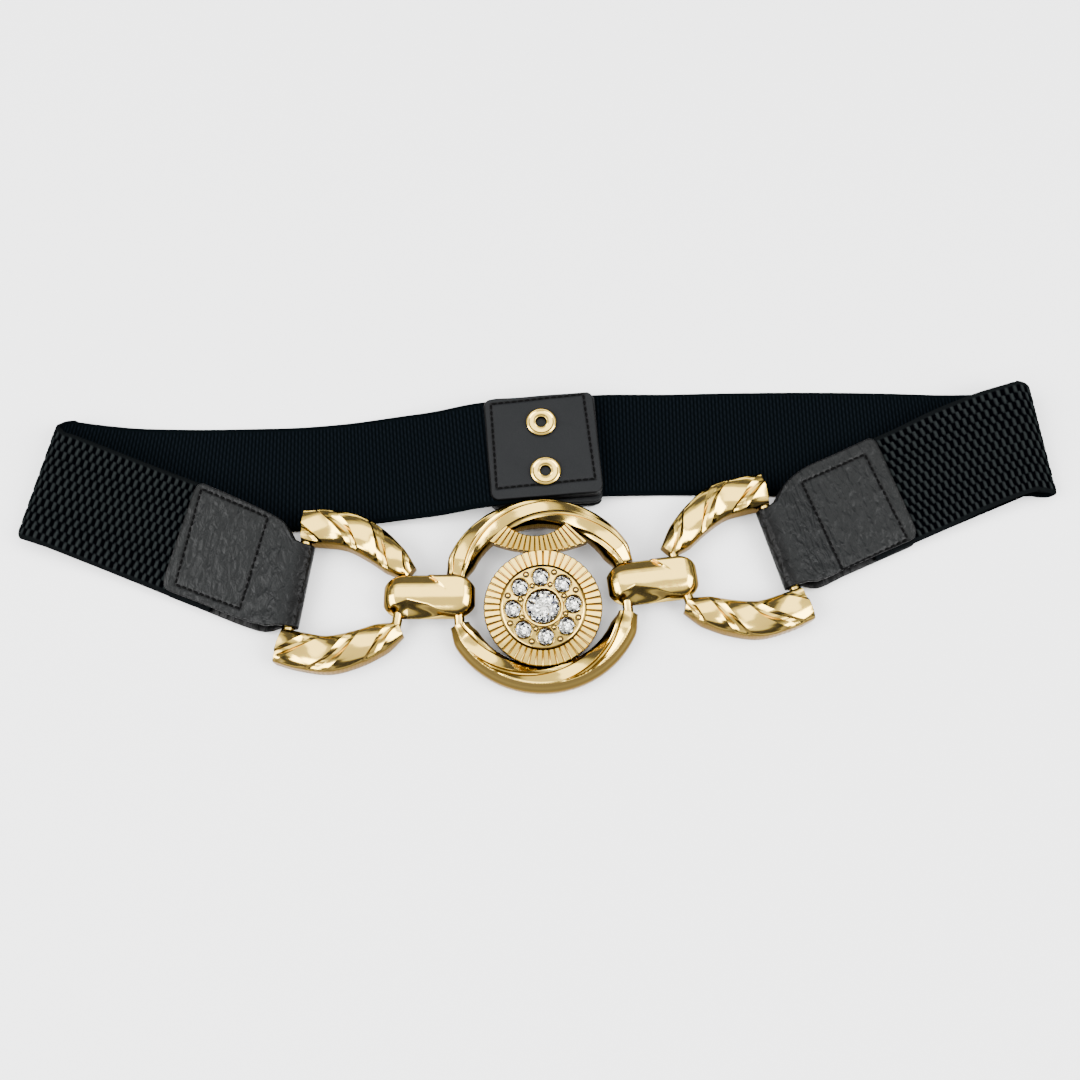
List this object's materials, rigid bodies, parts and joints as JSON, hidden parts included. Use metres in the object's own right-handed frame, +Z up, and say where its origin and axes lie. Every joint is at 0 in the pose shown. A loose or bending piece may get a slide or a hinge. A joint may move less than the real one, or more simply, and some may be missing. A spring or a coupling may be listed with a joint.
{
  "type": "elastic waist belt with a chain-link front",
  "caption": "Closed elastic waist belt lying folded flat: webbing with leather tabs, twisted horseshoe links, oval connectors and a stone-set centre ring; press studs at the back.",
  "frame": {"origin": "middle of the whole lying belt, on the surface it lies on", "axes": "+X along the belt to the right of the picture, +Y away from the picture's camera, +Z up from the surface"},
  "size_m": [0.3608, 0.1113, 0.0145],
  "materials": {
    "elastic": "black woven elastic webbing, matt",
    "leather": "charcoal creased faux leather, satin",
    "gold": "pale gold plate on zinc alloy, polished",
    "stone": "clear cut glass stone"
  },
  "bodies": {
    "root": {"elastic_band_left": "elastic", "elastic_band_right": "elastic", "back_tab_inner": "leather", "back_tab_outer": "leather", "front_tab_left": "leather", "front_tab_right": "leather", "press_stud_1": "gold", "press_stud_2": "gold", "horseshoe_link_left": "gold", "horseshoe_link_right": "gold", "connector_left": "gold", "connector_right": "gold", "centre_ring": "gold", "stone_disc": "gold", "stone_centre": "stone", "stone_1": "stone", "stone_2": "stone", "stone_3": "stone", "stone_4": "stone", "stone_5": "stone", "stone_6": "stone", "stone_7": "stone", "stone_8": "stone"}
  },
  "joints": []
}
